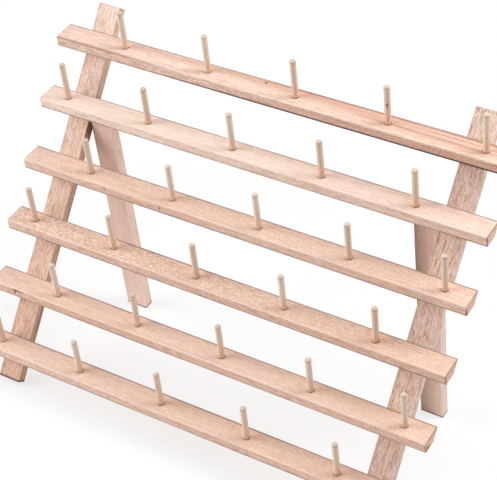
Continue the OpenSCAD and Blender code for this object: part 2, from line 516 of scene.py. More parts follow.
def rail_blank_tree(material):
    """The rails as sawn, with their back edges on a slant."""
    graph, size = row_tree("rail_blanks", "Length", "Depth", "Thickness", "Back Slant")
    bulk = graph.combine(size["Length"], size["Depth"], size["Thickness"])
    block = graph.node("GeometryNodeMeshCube", Size=bulk).outputs["Mesh"]
    spot = graph.separate(graph.position())
    behind = graph.math("GREATER_THAN", spot["Y"], 0.0)
    lower_back = graph.product(behind, graph.math("LESS_THAN", spot["Z"], 0.0))
    forwards = graph.combine(y=graph.product(size["Back Slant"], -1.0))
    sawn = graph.made("GeometryNodeSetPosition", Geometry=block, Selection=lower_back, Offset=forwards)
    to_edge = graph.scaled(graph.combine(0.0, size["Depth"], size["Thickness"]), -0.5)
    blank = graph.made("GeometryNodeTransform", Geometry=sawn, Translation=to_edge)
    return close_tree(graph, set_in_rows(graph, size, blank), material)


def peg_socket_tree(material):
    """Blind holes for the pegs, with a broken rim."""
    graph, size = row_tree("peg_sockets", "Radius", "Depth", "Rim")
    return close_tree(graph, drilled(graph, size, size["Radius"], size["Rim"]), material)


def screw_seat_tree(material):
    """Holes for countersunk screws."""
    graph, size = row_tree("screw_seats", "Shank Radius", "Head Radius", "Depth")
    sink = graph.math("SUBTRACT", size["Head Radius"], size["Shank Radius"])
    return close_tree(graph, drilled(graph, size, size["Shank Radius"], sink), material)


def pivot_bore_tree(material):
    """A hole along X about a middle point."""
    graph, size = geometry_tree("pivot_bore", {"Middle": VECTOR, "Radius": FLOAT, "Length": FLOAT})
    bore = rod(graph, size["Radius"], Depth=size["Length"])
    lying = (0.0, math.pi / 2, 0.0)
    laid = graph.made("GeometryNodeTransform", Geometry=bore, Translation=size["Middle"], Rotation=lying)
    return close_tree(graph, cut_away(graph, size["Geometry"], laid), material)


def peg_tree(material):
    """The object's own peg, set in rows and numbered."""
    graph, size = row_tree("peg_rows")
    pegs = set_in_rows(graph, size, size["Geometry"], random_roll(graph))
    index = graph.made("GeometryNodeInputIndex")
    kind = {"data_type": "FLOAT", "domain": "INSTANCE"}
    numbered = graph.made("GeometryNodeStoreNamedAttribute", kind, Geometry=pegs, Name="board", Value=index)
    return close_tree(graph, numbered, material)


def screw_tree(material):
    """The object's own screw with a cross recess in its head, set in rows."""
    graph, size = row_tree("screw_rows", "Recess Reach", "Recess Width", "Recess Depth")
    deep = graph.product(size["Recess Depth"], 2.0)
    arms = []
    for reach, width in (("Recess Reach", "Recess Width"), ("Recess Width", "Recess Reach")):
        bulk = graph.combine(size[reach], size[width], deep)
        arms.append(graph.node("GeometryNodeMeshCube", Size=bulk).outputs["Mesh"])
    screw = cut_away(graph, size["Geometry"], *arms)
    return close_tree(graph, set_in_rows(graph, size, screw, random_roll(graph)), material)


# Meshes

def new_object(name, mesh):
    thing = bpy.data.objects.new(name, mesh)
    bpy.context.scene.collection.objects.link(thing)
    return thing


def as_mesh(work, name):
    """A mesh made from a bmesh, which is freed."""
    mesh = bpy.data.meshes.new(name)
    work.to_mesh(mesh)
    work.free()
    return mesh


def grow(thing, tree, **sizes):
    """Adds a Geometry Nodes tree to an object and sets the tree's named inputs."""
    modifier = thing.modifiers.new(tree.name, "NODES")
    modifier.node_group = tree
    for item in tree.interface.items_tree:
        key = item.name.replace(" ", "_")
        if item.in_out == "INPUT" and key in sizes:
            modifier[item.identifier] = sizes[key]


def ease(thing):
    """Rounds the arrises of a sawn board."""
    bevel = thing.modifiers.new("arrises", "BEVEL")
    bevel.width = ARRIS
    bevel.segments = ARRIS_STEPS
    bevel.limit_method = "ANGLE"


def mend(mesh):
    """Splits faces with many corners, and turns the long edge of each triangle that has no area."""
    work = bmesh.new()
    work.from_mesh(mesh)
    bmesh.ops.triangulate(work, faces=[face for face in work.faces if len(face.verts) > 4])
    for _ in range(MEND_PASSES):
        for face in [face for face in work.faces if face.calc_area() < FLAT_AREA]:
            if not face.is_valid:
                continue
            longest = max(face.edges, key=lambda edge: edge.calc_length())
            bmesh.ops.triangulate(work, faces=[near for near in longest.link_faces if len(near.verts) > 3])
            bmesh.utils.edge_rotate(longest)
    work.to_mesh(mesh)
    work.free()


def settle(thing):
    """Makes an object's modifiers into a plain mesh."""
    graph = bpy.context.evaluated_depsgraph_get()
    mesh = bpy.data.meshes.new_from_object(
        thing.evaluated_get(graph), preserve_all_data_layers=True, depsgraph=graph
    )
    thing.modifiers.clear()
    thing.data = mesh
    mesh.name = thing.name
    mend(mesh)
    return thing


def stamp(mesh, name, values):
    """Stores a number or a vector for each vertex."""
    kind, field = ("FLOAT_VECTOR", "vector") if values.ndim > 1 else ("FLOAT", "value")
    layer = mesh.attributes.get(name) or mesh.attributes.new(name, kind, "POINT")
    layer.data.foreach_set(field, np.ascontiguousarray(values, np.float32).ravel())


def in_sockets(points):
    """Which of the points lie in a peg's socket, below its rim."""
    found = np.zeros(len(points), bool)
    for row in range(row_count):
        for column in range(pegs_per_row):
            up, away = about_axis(points, peg_foot(row + 1, column + 1), peg_up)
            found |= (up < -SOCKET_RIM / 2) & (away < peg_r + SOCKET_RIM)
    return found


def stamp_boards(thing, nodes):
    """Gives each vertex its place in the board that it belongs to, and that board's figure."""
    points = np.array([vertex.co for vertex in thing.data.vertices])
    near = [boards[node] for node in nodes]
    local = np.array([board.local(points) for board in near])
    outside = np.array([np.abs(place / board.half).max(1) for place, board in zip(local, near)])
    owner = outside.argmin(0)
    place = local[owner, np.arange(len(points))]
    half = np.array([board.half for board in near])[owner]
    half_length = half[:, 0]
    figures = np.array([board.figure for board in near])[owner]
    tone, flecks, edge_flecks, lines, heart, side, slope, grey, fade = figures.T
    along = place[:, 0] / half_length
    flecks = flecks * (1 - fade * (1 + along) / 2)
    leg = np.array([not node.startswith("rail") for node in nodes])[owner]
    stamps = {
        "grain": place,
        "board": np.array([board.number for board in near])[owner],
        "half": half,
        "tone": tone + slope * along,
        "grey": grey,
        "figure": np.stack([flecks, lines, heart], axis=1),
        "sides": np.stack([edge_flecks, side, leg], axis=1),
        # Points in the peg sockets, which get painted shade
        "drilled": in_sockets(points),
        "end_wood": np.abs(place[:, 0]) > half_length - ARRIS / 10,
    }
    for name, values in stamps.items():
        stamp(thing.data, name, values)


def turned(name, outline, sides=TURNED_SIDES, relief=None, closed=False):
    """A mesh turned about Z from points [radius, height] that run upwards on the outside.

    The first and last points lie on the axis, unless the outline is closed. A relief adds to the radius."""
    angles = np.arange(sides) * 2 * math.pi / sides
    mesh = bmesh.new()
    rings = []
    for radius, height in outline:
        if radius == 0:
            rings.append([mesh.verts.new((0, 0, height))] * sides)
            continue
        radii = radius + (relief(radius, height, angles) if relief else np.zeros(sides))
        spots = zip(radii * np.cos(angles), radii * np.sin(angles))
        rings.append([mesh.verts.new((x, y, height)) for x, y in spots])
    above = rings[1:] + rings[:1] if closed else rings[1:]
    for lower, upper in zip(rings, above):
        for k in range(sides):
            ahead = (k + 1) % sides
            corners = [lower[k], lower[ahead], upper[ahead], upper[k]]
            mesh.faces.new(list(dict.fromkeys(corners)))
    for face in mesh.faces:
        face.smooth = True
    made = as_mesh(mesh, name)
    made.set_sharp_from_angle(angle=SHARP_ANGLE)
    return made


def arc(centre, radius, start, end, steps=ROUND_STEPS):
    """Points [radius, height] on an arc between two angles, in degrees from the outward direction."""
    turns = np.radians(np.linspace(start, end, steps + 1))
    return [(centre[0] + radius * math.cos(t), centre[1] + radius * math.sin(t)) for t in turns]


def wood_screw(name, screw, head, pitch):
    """A screw with its head's top at the origin, a plain neck, and a thread that tapers to a point."""
    neck = -screw.head_h - SCREW_NECK * screw.length
    tip = -screw.length
    slope = (1 - SCREW_POINT) / (SCREW_TAPER * screw.shank_r)
    levels = int((neck - tip) / pitch * THREAD_STEPS)
    heights = np.linspace(tip, neck, levels + 1)[1:]
    outline = [(0, tip)]
    outline += [(screw.shank_r * min(1.0, SCREW_POINT + slope * (h - tip)), h) for h in heights]

    def thread(radius, height, angles):
        fade = min(1.0, max(0.0, (neck - height) / pitch)) * radius / screw.shank_r
        saw = (angles / (2 * math.pi) - height / pitch) % 1.0
        return -THREAD_DEPTH * fade * (1 - (1 - np.abs(2 * saw - 1)) ** 2)

    return turned(name, outline + head, relief=thread)


def countersunk_head(screw):
    return [
        (screw.shank_r, screw.shank_r - screw.head_r),
        (screw.head_r - EASED, -EASED),
        (screw.head_r - 2 * EASED, 0),
        (0, 0),
    ]


def round_head(screw):
    dome_r = (screw.head_r**2 + screw.head_h**2) / (2 * screw.head_h)
    low = math.degrees(math.asin((dome_r - screw.head_h) / dome_r))
    dome = arc((0, -dome_r), dome_r, low, 90)[:-1]
    return [(screw.shank_r, -screw.head_h), (screw.head_r - EASED, -screw.head_h), *dome, (0, 0)]


# Materials

def srgb(red, green, blue):
    """A colour given in 0 to 255, as the shaders take it."""
    shares = (value / 255 for value in (red, green, blue))
    linear = [s / 12.92 if s <= 0.04045 else ((s + 0.055) / 1.055) ** 2.4 for s in shares]
    return (*linear, 1.0)


class Layer(NamedTuple):
    """A colour in the wood, given in 0 to 255, and how strongly it covers what lies under it."""

    red: int
    green: int
    blue: int
    strength: float


class Pattern(NamedTuple):
    """Noise drawn out along the fibres: its lengths along and across them in millimetres, and the limits
    between which it comes to show."""

    along: float
    across: float
    low: float = 0.0
    high: float = 1.0
    detail: float = 2.0

    @property
    def limits(self):
        return Span(self.low, self.high)


PALE_BEECH = srgb(250, 229, 215)
WARM_BEECH = srgb(236, 196, 173)
MOTTLING = Layer(240, 203, 189, 0.5)
LATE_WOOD = Layer(222, 176, 151, 0.3)
STREAK = Layer(186, 138, 114, 0.4)
GRAIN_LINE = Layer(164, 116, 93, 0.65)
FIBRE_LINE = Layer(176, 124, 98, 0.3)
# Browner narrow sides: partly the wood's own tone, partly painted shade, strongest on the left front leg's inner
# side
SIDE_WOOD_AND_SHADE = Layer(204, 150, 118, 0.4)
SIDE_LINE = Layer(126, 80, 60, 0.5)
# Painted shade: a mauve grey over a board's broad sides, used on the left back leg
GREY_SHADE = Layer(204, 178, 172, 0.6)
RAY_FLECK = Layer(200, 144, 112, 0.5)
RAY_GLINT = Layer(250, 229, 215, 0.5)
HEART_WOOD = Layer(214, 171, 150, 1.0)
HEART_LINE = Layer(150, 98, 74, 0.75)
# Painted shade: a near-black line along the heartwood rail's lower front arris
LOWER_ARRIS_SHADE = Layer(66, 50, 44, 0.9)
HEART_ARRIS = Layer(150, 102, 84, 0.65)
EDGE_LINE = Layer(160, 122, 110, 0.42)
# Painted highlight: a pale line along the inner arrises, top front and lower back
ARRIS_HIGHLIGHT = Layer(255, 240, 228, 0.35)
# Painted shade: dark patches along the outer arrises, top back and lower front, and round the board ends
ARRIS_SHADE = Layer(112, 86, 75, 0.8)
# Painted shade in the gap between the legs at the left pivot
PIVOT_SHADE = Layer(104, 66, 50, 0.8)
# Painted shade: a dark band at the legs' feet, where they stand on the floor
FOOT_SHADE = Layer(66, 48, 42, 0.9)
# Painted shade inside the peg sockets, below their rims
SOCKET_SHADE = Layer(120, 82, 62, 0.7)
FLAW = Layer(82, 56, 46, 0.8)
END_WOOD = Layer(206, 160, 130, 0.5)

PATCHES = Pattern(140, 25)
MOTTLES = Pattern(6.5, 3.0, 0.42, 0.64, 3.0)
STREAKS = Pattern(36, 1.9, 0.50, 0.72)
GRAIN_LINES = Pattern(9, 1.0, 0.46, 0.66)
FIBRES = Pattern(12, 0.45, 0.5, 0.75, 3.0)
FLECKS = Pattern(2.0, 0.9, 0.45, 0.62, 1.0)
GLINTS = Pattern(2.0, 0.9, 0.32, 0.46, 1.0)
GRAIN_BENDS = Pattern(12, 9)
RING_BENDS = Pattern(200, 45, detail=3.0)
HEART_BENDS = Pattern(110, 17, detail=3.0)
HEART_LINES = Pattern(160, 1.9, 0.52, 0.66)
RAGGED = Pattern(4.0, 1.6)
FRONT_FLECKS = 0.85
TONE_PATCHES = 0.6
FLAW_RAGS = 4.0
GRAIN_WANDER = 2.5 * MM
RING_WANDER = 9 * MM
HEART_WANDER = 12 * MM
HEART_SPREAD = 4 * MM
RING_WIDTH = 2.4 * MM
PITH_NEAR = 22 * MM
PITH_RANGE = 40 * MM
GRAIN_RELIEF = 0.08 * MM
GRAIN_STRENGTH = 0.6
FLECK_RELIEF = -0.5
WOOD_SPECULAR = 0.3
BOARDS_APART = (3.1, 5.7, 1.9)
RINGS_APART = 7.3
SAME_BOARD = 0.5
ACROSS_X = (0.0, 1.0, 1.0)

# Where the heartwood's layers and the painted shade along its lower front arris begin and end, along the
# board, across it and away from its arrises
HEART_FORWARD = lengths(-20, 160, 0.0, HEART_SPREAD)
HEART_FRONT = lengths(-3, 5)
HEART_TOP = lengths(2.5, 4.2)
HEART_BELOW = lengths(-60, 170)
HEART_GROWS = lengths(-190, 40, 0.1, 0.95)
HEART_THINS = lengths(60, 150, 1.0, 0.5)
HEART_CLEARS = lengths(-190, -20, 0.35, 1.0)
HEART_TOP_SWAY = 0.15
HEART_LINE_SWAY = 0.5
LOWER_ARRIS_SHADE_ALONG = lengths(-130, -20)
LOWER_ARRIS_SHADE_WIDTH = lengths(1.0, 2.6)
HEART_ARRIS_ALONG = lengths(-150, -70)
HEART_ARRIS_WIDTH = lengths(0.8, 1.8)

# Where the other layers begin and end, away from a board's sides, arrises, ends and foot, or by strength
NARROW_SIDE = lengths(0.1, 0.4)
ARRIS_HIGHLIGHT_WIDTH = lengths(0.5, 1.5)
ARRIS_SHADE_WIDTH = lengths(0.8, 2.0)
END_ARRIS_SHADE_WIDTH = lengths(0.4, 1.2)
FOOT_SHADE_HEIGHT = lengths(0.8, 2.6)
PIVOT_SHADE_REACH = lengths(10, 24)
FIGURED_TONES = Span(-0.2, 0.3, 0.2, 1.0)
ARRIS_SHADE_PATCHES = Span(0.3, 0.7, 0.5, 1.0)
ARRIS_SHADE_ON_LEGS = Span(0.0, 1.0, 1.0, 0.35)
LATE_RINGS = Span(0.45, 0.72)
FLAW_RIM = Span(0.5, 1.1)
BEECH_GLOSS = Span(0.2, 0.8, 0.52, 0.72)

PALE_DOWEL = srgb(237, 221, 206)
WARM_DOWEL = srgb(211, 182, 159)
YELLOW_DOWEL = Layer(232, 206, 174, 0.5)
PINK_DOWEL = Layer(228, 196, 180, 0.6)
# Painted light: warm light bounced from the rail onto each peg's lower part
DOWEL_BOUNCE = Layer(244, 194, 154, 0.45)
# Painted shade: a dark band at each peg's foot, where it meets its rail
DOWEL_BASE_SHADE = Layer(140, 96, 66, 0.5)
DOWEL_TIP = Layer(166, 152, 144, 0.38)
DOWEL_LINE = Layer(176, 130, 98, 0.5)
DOWEL_SPECK = Layer(160, 112, 82, 0.6)
DOWEL_PATCHES = Pattern(40, 6)
DOWEL_FIBRES = Pattern(22, 0.66, 0.5, 0.8, 4.0)
DOWEL_SPECKS = Pattern(6, 1.25, 0.72, 0.80, 1.0)
DOWEL_WARMTH = 0.8
DOWEL_TINTED = Span(0.4, 0.8)
DOWEL_BOUNCE_HEIGHT = lengths(3, 18)
DOWEL_TIP_RIM = Span(peg_h - 3.0 * MM, peg_h - 1.4 * MM)
DOWEL_TIP_TOP = Span(peg_h - 0.9 * MM, peg_h - 0.2 * MM, 1.0, 0.5)
DOWEL_BASE_SHADE_HEIGHT = lengths(0.3, 1.2)
DOWEL_GLOSS = Span(0.2, 0.8, 0.45, 0.65)
KNOT_STRETCH = (1.0, 1.0, 0.3)
KNOT_RIM = lengths(0.3, 1.2)

ZINC = srgb(196, 195, 190)
DULL_ZINC = srgb(150, 150, 146)
ZINC_CLOUDED = Span(0.35, 0.7, 0.0, 0.5)
ZINC_GLOSS = Span(0.3, 0.7, 0.26, 0.44)
CLOUDS_PER_METRE = 700.0
MARKS_PER_METRE = 5200.0
MARK_RELIEF = 0.02 * MM
MARK_STRENGTH = 0.5
WHITE = (1.0, 1.0, 1.0, 1.0)


def bare_graph(owner):
    """The emptied node tree of a material or a world."""
    owner.use_nodes = True
    owner.node_tree.nodes.clear()
    return Graph(owner.node_tree)


def new_material(name):
    """A material with a bare surface, as the material, its graph and its surface's node."""
    material = bpy.data.materials.new(name)
    graph = bare_graph(material)
    surface = graph.node("ShaderNodeBsdfPrincipled")
    graph.node("ShaderNodeOutputMaterial", Surface=surface.outputs[0])
    return material, graph, surface


def raise_grain(graph, surface, height, distance, strength):
    bump = graph.made("ShaderNodeBump", Height=height, Distance=distance, Strength=strength)
    graph.set(surface.inputs["Normal"], bump)


class Wood:
    """The nodes of a wooden surface, whose figure is laid on its colour layer by layer."""

    def __init__(self, name, pale, warm, patches):
        self.material, self.graph, self.surface = new_material(name)
        self.place = self.graph.attribute("grain", "Vector")
        self.x, self.y, self.z = self.graph.separate(self.place)
        self.number = self.graph.attribute("board", "Fac")
        chance = self.graph.node("ShaderNodeTexWhiteNoise", {"noise_dimensions": "1D"}, W=self.number)
        self.chances = self.graph.separate(chance.outputs["Color"])
        self.apart = self.graph.scaled(BOARDS_APART, self.number)
        self.patch = self.noise(patches)
        self.pale = pale
        self.warm = warm

    def noise(self, pattern, place=None):
        """A pattern's noise, which differs from board to board."""
        along, across = pattern.along * MM, pattern.across * MM
        stretch = (1 / along, 1 / across, 1 / across)
        spot = self.graph.vector("MULTIPLY_ADD", place or self.place, stretch, self.apart)
        return self.graph.noise(spot, pattern.detail)

    def sway(self, noise, width):
        """A noise made to wander to either side of zero."""
        return self.graph.math("MULTIPLY_ADD", noise, width, -width / 2)

    def shows(self, pattern, place=None):
        return self.graph.rise(self.noise(pattern, place), pattern.limits)

    def ground(self, tone):
        """Starts the colour, from pale to warm."""
        patchy = self.sway(self.patch, TONE_PATCHES)
        self.colour = self.graph.mix(self.graph.math("ADD", tone, patchy), self.pale, self.warm)

    def coat(self, layer, *parts):
        """Lays a colour over what is there, as far as all the parts say."""
        share = self.graph.product(layer.strength, *parts)
        self.colour = self.graph.mix(share, self.colour, srgb(layer.red, layer.green, layer.blue))

    def finish(self, fibre, gloss, relief):
        """Sets the colour, and a roughness and a relief that follow the fibres."""
        self.graph.set(self.surface.inputs["Base Color"], self.colour)
        self.graph.set(self.surface.inputs["Roughness"], self.graph.rise(fibre, gloss))
        self.surface.inputs["Specular IOR Level"].default_value = WOOD_SPECULAR
        raise_grain(self.graph, self.surface, relief, GRAIN_RELIEF, GRAIN_STRENGTH)
        return self.material


def growth_rings(wood):
    """How far the surface is late wood, in rings about a pith that lies outside the board."""
    graph = wood.graph
    around = graph.product(wood.chances["X"], 2 * math.pi)
    away = graph.math("MULTIPLY_ADD", wood.chances["Y"], PITH_RANGE, PITH_NEAR)
    pith_y = graph.product(graph.math("COSINE", around), away)
    pith_z = graph.product(graph.math("SINE", around), away)
    flat = graph.vector("MULTIPLY", wood.place, ACROSS_X)
    from_pith = graph.vector("LENGTH", graph.vector("SUBTRACT", flat, graph.combine(0.0, pith_y, pith_z)))
    wander = graph.product(wood.noise(RING_BENDS), RING_WANDER)
    ring = graph.math("DIVIDE", graph.math("ADD", from_pith, wander), RING_WIDTH)
    along = graph.product(wood.x, 1 / (RING_BENDS.along * MM))
    place = graph.combine(along, ring, graph.product(wood.number, RINGS_APART))
    return graph.rise(graph.noise(place, RING_BENDS.detail), LATE_RINGS)


def lay_heartwood(wood, heart):
    """Red heartwood with dark lines along a board's back half, which spreads forwards at its far end."""
    graph = wood.graph
    sway = wood.sway(wood.noise(HEART_BENDS), HEART_WANDER)
    spread = graph.rise(wood.x, HEART_FORWARD)
    depth = graph.math("ADD", wood.y, graph.math("ADD", sway, spread))
    behind = graph.rise(depth, HEART_FRONT)
    low = graph.fall(graph.math("MULTIPLY_ADD", sway, HEART_TOP_SWAY, wood.z), HEART_TOP)
    below = graph.product(low, graph.rise(wood.x, HEART_BELOW))
    deeper = graph.product(graph.rise(wood.x, HEART_GROWS), graph.rise(wood.x, HEART_THINS))
    wood.coat(HEART_WOOD, heart, graph.math("MAXIMUM", graph.product(behind, deeper), below))
    drift = graph.combine(y=graph.product(sway, HEART_LINE_SWAY))
    drifting = graph.vector("ADD", wood.place, drift)
    lined = graph.math("MAXIMUM", graph.product(behind, graph.rise(wood.x, HEART_CLEARS)), below)
    wood.coat(HEART_LINE, heart, lined, wood.shows(HEART_LINES, drifting))


def lay_heart_arris_shade_and_line(wood, heart, to_arris):
    """Painted shade along a heartwood board's lower front arris, and a brown line at its near end above."""
    graph = wood.graph
    edge = graph.product(heart, graph.math("LESS_THAN", wood.y, 0.0))
    under = graph.math("LESS_THAN", wood.z, 0.0)
    above = graph.math("GREATER_THAN", wood.z, 0.0)
    along_lower = graph.rise(wood.x, LOWER_ARRIS_SHADE_ALONG)
    # Painted shade along the lower front arris
    wood.coat(LOWER_ARRIS_SHADE, edge, under, along_lower, graph.fall(to_arris, LOWER_ARRIS_SHADE_WIDTH))
    near_end = graph.fall(wood.x, HEART_ARRIS_ALONG)
    wood.coat(HEART_ARRIS, edge, above, near_end, graph.fall(to_arris, HEART_ARRIS_WIDTH))


def dark_flaws(wood):
    """How far the surface is a knot or a tear."""
    graph = wood.graph
    ragged = wood.sway(wood.noise(RAGGED), FLAW_RAGS)
    most = 0.0
    for node, spot, reach in DARK_FLAWS:
        offset = graph.vector("SUBTRACT", wood.place, Vector(spot) * MM)
        away = graph.vector("LENGTH", graph.vector("DIVIDE", offset, Vector(reach) * MM))
        dark = graph.fall(graph.math("ADD", away, ragged), FLAW_RIM)
        here = graph.math("COMPARE", wood.number, float(boards[node].number), SAME_BOARD)
        most = graph.math("MAXIMUM", most, graph.product(dark, here))
    return most


def shade_at_pivot(wood, leg):
    """How far the sides that face each other at the left pivot are painted with shade."""
    graph = wood.graph
    place = graph.object_place()
    from_pivot = graph.vector("SUBTRACT", place, pivots["left"])
    away = graph.vector("LENGTH", graph.vector("MULTIPLY", from_pivot, ACROSS_X))
    at_gap = graph.math("COMPARE", graph.separate(place)["X"], leg_gap_x, LEG_GAP_REACH)
    return graph.product(leg, at_gap, graph.fall(away, PIVOT_SHADE_REACH))


def beech():
    """Bare sanded beech: rings, fibre lines and ray flecks along each board, painted highlights and painted
    shade along its arrises, and painted shade at the feet, at the pivot and in the sockets.
    """
    wood = Wood("beech", PALE_BEECH, WARM_BEECH, PATCHES)
    graph = wood.graph
    flecks, lines, heart = graph.separate(graph.attribute("figure", "Vector"))
    edge_flecks, side, leg = graph.separate(graph.attribute("sides", "Vector"))
    half = graph.attribute("half", "Vector")
    inside = graph.separate(graph.vector("SUBTRACT", half, graph.vector("ABSOLUTE", wood.place)))
    narrow = graph.fall(inside["Y"], NARROW_SIDE)
    to_arris = graph.math("ADD", inside["Y"], inside["Z"])
    to_end = graph.math("ADD", inside["X"], graph.math("MINIMUM", inside["Y"], inside["Z"]))

    tone = graph.attribute("tone", "Fac")
    wood.ground(tone)
    figured = graph.rise(tone, FIGURED_TONES)
    wood.coat(MOTTLING, figured, wood.shows(MOTTLES))
    wood.coat(LATE_WOOD, figured, growth_rings(wood))
    bend = wood.sway(wood.noise(GRAIN_BENDS), GRAIN_WANDER)
    bent = graph.vector("ADD", wood.place, graph.combine(0.0, bend, bend))
    line = wood.shows(GRAIN_LINES, bent)
    fibre = wood.noise(FIBRES, bent)
    wood.coat(FIBRE_LINE, figured, graph.rise(fibre, FIBRES.limits))
    streak = wood.shows(STREAKS, bent)
    wood.coat(STREAK, lines, streak)
    wood.coat(GRAIN_LINE, lines, line)
    wood.coat(EDGE_LINE, narrow, edge_flecks, graph.math("MAXIMUM", line, streak))
    # Browner narrow sides: partly the wood's own tone, partly painted shade
    wood.coat(SIDE_WOOD_AND_SHADE, narrow, side)
    wood.coat(SIDE_LINE, narrow, side, leg, streak)
    # Painted shade: a mauve grey over the broad sides, used on the left back leg
    wood.coat(GREY_SHADE, graph.attribute("grey", "Fac"), graph.math("SUBTRACT", 1.0, narrow))
    lay_heartwood(wood, heart)

    fewer = graph.math("SUBTRACT", graph.product(edge_flecks, FRONT_FLECKS), flecks)
    flecked = graph.math("MULTIPLY_ADD", narrow, fewer, flecks)
    fleck = wood.shows(FLECKS)
    wood.coat(RAY_FLECK, flecked, fleck)
    wood.coat(RAY_GLINT, flecked, graph.fall(wood.noise(GLINTS), GLINTS.limits))

    outer = graph.math("GREATER_THAN", graph.product(wood.y, wood.z), 0.0)
    inner = graph.math("SUBTRACT", 1.0, outer)
    # Painted highlight: a pale line along the inner arrises, top front and lower back
    wood.coat(ARRIS_HIGHLIGHT, inner, graph.fall(to_arris, ARRIS_HIGHLIGHT_WIDTH))
    # Painted shade in patches along the outer arrises, top back and lower front, and round the board ends, weaker
    # on the legs
    arris_shade = graph.product(graph.rise(wood.patch, ARRIS_SHADE_PATCHES), graph.rise(leg, ARRIS_SHADE_ON_LEGS))
    wood.coat(ARRIS_SHADE, outer, arris_shade, graph.fall(to_arris, ARRIS_SHADE_WIDTH))
    wood.coat(ARRIS_SHADE, arris_shade, graph.fall(to_end, END_ARRIS_SHADE_WIDTH))
    lay_heart_arris_shade_and_line(wood, heart, to_arris)
    # Painted shade: a dark band at the legs' feet, where they stand on the floor
    from_foot = graph.math("ADD", wood.x, graph.separate(half)["X"])
    wood.coat(FOOT_SHADE, leg, graph.fall(from_foot, FOOT_SHADE_HEIGHT))
    wood.coat(END_WOOD, graph.attribute("end_wood", "Fac"))
    # Painted shade in the gap between the legs at the left pivot
    wood.coat(PIVOT_SHADE, shade_at_pivot(wood, leg))
    # Painted shade inside the peg sockets, below their rims
    wood.coat(SOCKET_SHADE, graph.attribute("drilled", "Fac"))
    wood.coat(FLAW, dark_flaws(wood))

    relief = graph.math("MULTIPLY_ADD", fleck, FLECK_RELIEF, fibre)
    return wood.finish(fibre, BEECH_GLOSS, relief)


def dowel_wood():
    """The pegs' straight-grained wood, with fine lines along each peg, painted warm bounce light on its lower
    part and painted shade at its foot.
    """
    wood = Wood("dowel_wood", PALE_DOWEL, WARM_DOWEL, DOWEL_PATCHES)
    graph = wood.graph
    wood.ground(graph.product(wood.chances["X"], DOWEL_WARMTH))
    wood.coat(YELLOW_DOWEL, graph.rise(wood.chances["Y"], DOWEL_TINTED))
    wood.coat(PINK_DOWEL, graph.rise(wood.chances["Z"], DOWEL_TINTED))
    height = wood.x
    # Painted light: warm light bounced from the rail onto each peg's lower part
    wood.coat(DOWEL_BOUNCE, graph.fall(height, DOWEL_BOUNCE_HEIGHT))
    wood.coat(DOWEL_TIP, graph.rise(height, DOWEL_TIP_RIM), graph.rise(height, DOWEL_TIP_TOP))
    wood.coat(DOWEL_LINE, wood.shows(DOWEL_FIBRES))
    wood.coat(DOWEL_SPECK, wood.shows(DOWEL_SPECKS))
    offset = graph.vector("SUBTRACT", graph.object_place(), peg_knot)
    from_knot = graph.vector("LENGTH", graph.vector("MULTIPLY", offset, KNOT_STRETCH))
    wood.coat(FLAW, graph.fall(from_knot, KNOT_RIM))
    # Painted shade: a dark band at each peg's foot, where it meets its rail
    wood.coat(DOWEL_BASE_SHADE, graph.fall(height, DOWEL_BASE_SHADE_HEIGHT))
    fibre = wood.noise(DOWEL_FIBRES)
    return wood.finish(fibre, DOWEL_GLOSS, fibre)


def zinc_steel():
    """Zinc-plated steel, a little cloudy, with fine marks from turning."""
    material, graph, surface = new_material("zinc_steel")
    place = graph.object_place()
    cloud = graph.noise(graph.scaled(place, CLOUDS_PER_METRE), detail=3.0)
    marks = graph.noise(graph.scaled(place, MARKS_PER_METRE), detail=2.0)
    dull = graph.mix(graph.rise(cloud, ZINC_CLOUDED), ZINC, DULL_ZINC)
    graph.set(surface.inputs["Base Color"], dull)
    graph.set(surface.inputs["Roughness"], graph.rise(cloud, ZINC_GLOSS))
    surface.inputs["Metallic"].default_value = 1.0
    raise_grain(graph, surface, marks, MARK_RELIEF, MARK_STRENGTH)
    return material


BEECH = beech()
DOWEL = dowel_wood()
STEEL = zinc_steel()


# Pieces of the rack

def add_piece(thing, body, slot, *nodes):
    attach(thing, body)
    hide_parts(*nodes)
    return thing


def row_places(facing, first, rows=1, per_row=1, spacing=0.0, shift=0.0, step=(0, 0, 0)):
    """The inputs that tell a tree its places in rows, and which way the things there face."""
    values = (rows, per_row, first, spacing, shift, step)
    inputs = {name.replace(" ", "_"): value for name, value in zip(PLACES, values)}
    return {**inputs, "Facing": facing}


PEG_PLACES = row_places(peg_up, peg_foot(1, 1), row_count, pegs_per_row, peg_step, row_shift, row_step)
RAIL_PLACES = row_places(peg_up, rail_first, row_count, step=row_step)
SCREW_PLACES = row_places(
    leg_back, rail_screw.top, row_count, len(SIDES), rail_screw_step, rail_screw_shift, row_step
)
SEATS = screw_seat_tree(BEECH)
BORE = pivot_bore_tree(BEECH)
SCREW_ROWS = screw_tree(STEEL)


def seat_screws(thing):
    """Drills a board for the rail screws that go through it."""
    tight = {"Shank_Radius": rail_screw.shank_r, "Head_Radius": rail_screw.head_r, "Depth": rail_screw.length}
    grow(thing, SEATS, **{name: size + SEAT_PLAY for name, size in tight.items()}, **SCREW_PLACES)


def make_rails():
    thing = new_object("rails", bpy.data.meshes.new("rails"))
    bulk = {"Length": rail_length, "Depth": rail_depth, "Thickness": rail_thickness}
    grow(thing, rail_blank_tree(BEECH), Back_Slant=rail_slant, **bulk, **RAIL_PLACES)
    ease(thing)
    socket = {"Radius": peg_r + SOCKET_PLAY, "Depth": peg_tenon + SOCKET_PLAY, "Rim": SOCKET_RIM}
    grow(thing, peg_socket_tree(BEECH), **socket, **PEG_PLACES)
    seat_screws(thing)
    settle(thing)
    stamp_boards(thing, RAILS)
    add_piece(thing, "rack", "beech", *RAILS)


